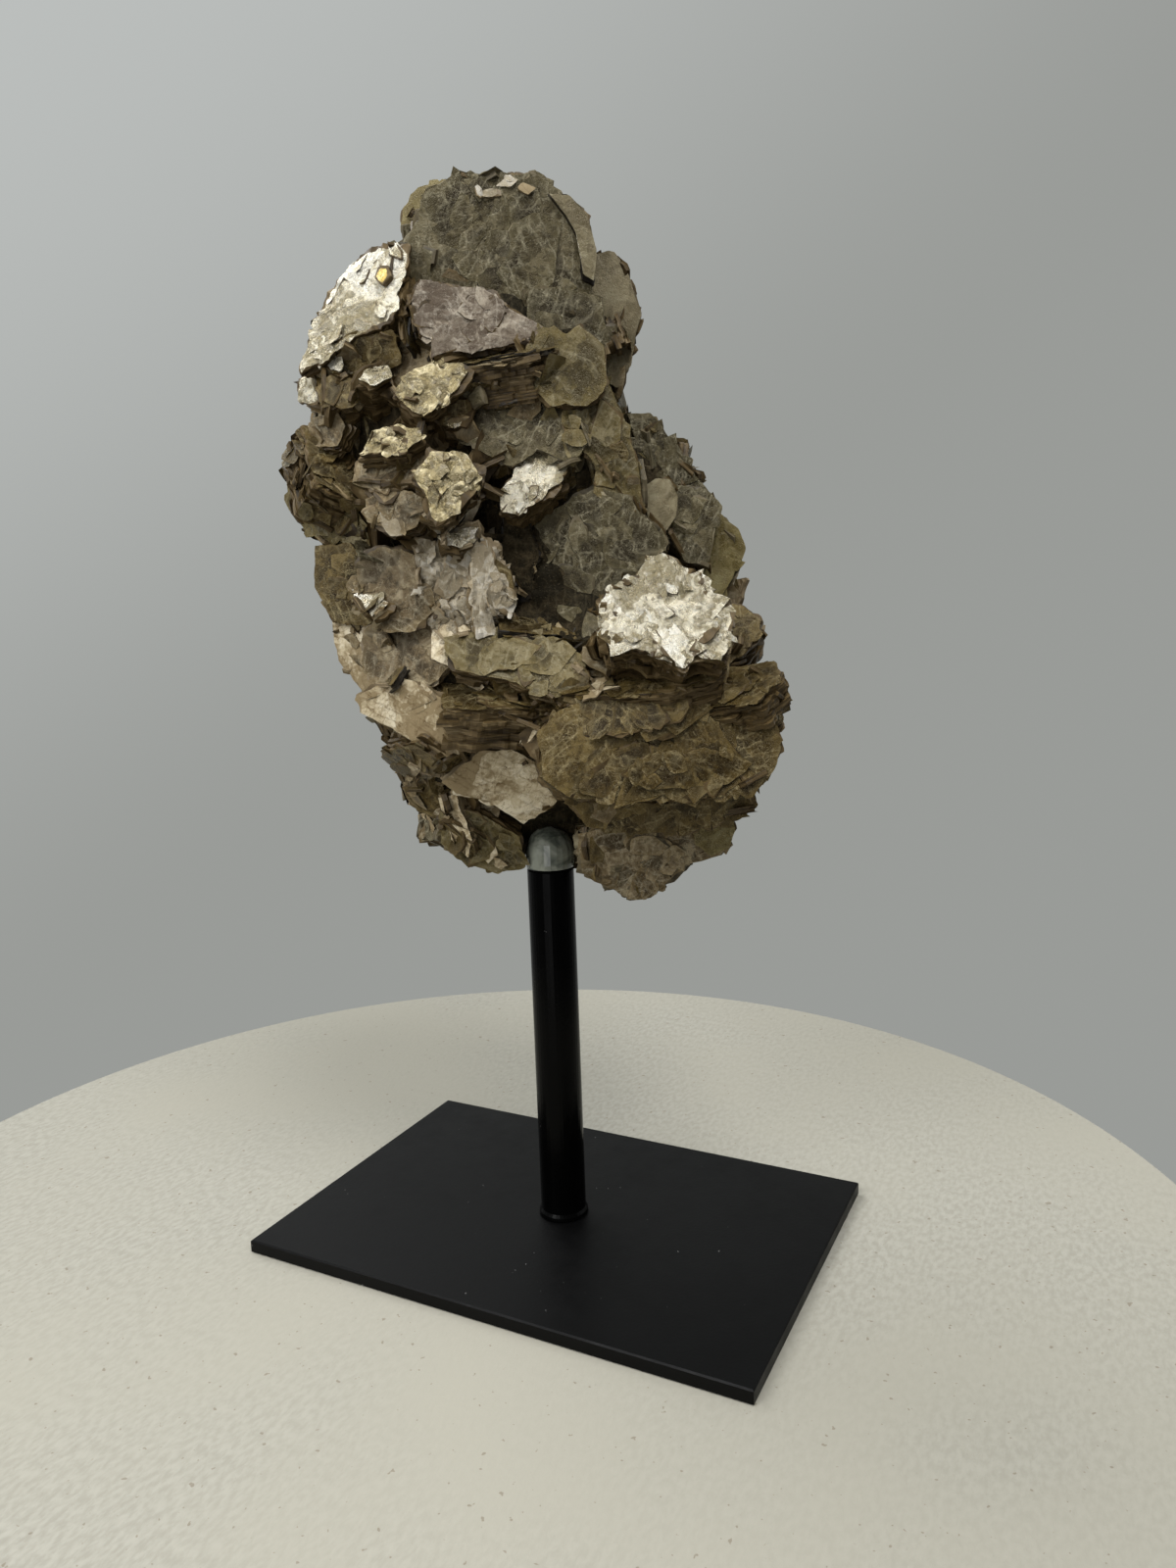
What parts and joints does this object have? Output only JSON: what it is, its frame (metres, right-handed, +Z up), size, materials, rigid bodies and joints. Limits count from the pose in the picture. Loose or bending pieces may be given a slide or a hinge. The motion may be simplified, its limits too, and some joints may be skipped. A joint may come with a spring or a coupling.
{
  "type": "mica crystal on stand",
  "caption": "Cluster of intergrown mica books glued to the top of a round post that stands on a flat rectangular plate.",
  "frame": {"origin": "middle of the base plate's underside", "axes": "+X along the plate's long side, +Y along its short side away from the front, +Z up the post"},
  "size_m": [0.1142, 0.0836, 0.2204],
  "materials": {
    "base_paint": "satin black",
    "post_paint": "semi-gloss black",
    "glue": "glossy, slightly see-through",
    "mica": "pearly, from smoky brown to silver"
  },
  "bodies": {
    "root": {"base_plate": "base_paint", "post": "post_paint", "glue_bead": "glue", "mica_cluster": "mica"}
  },
  "joints": []
}
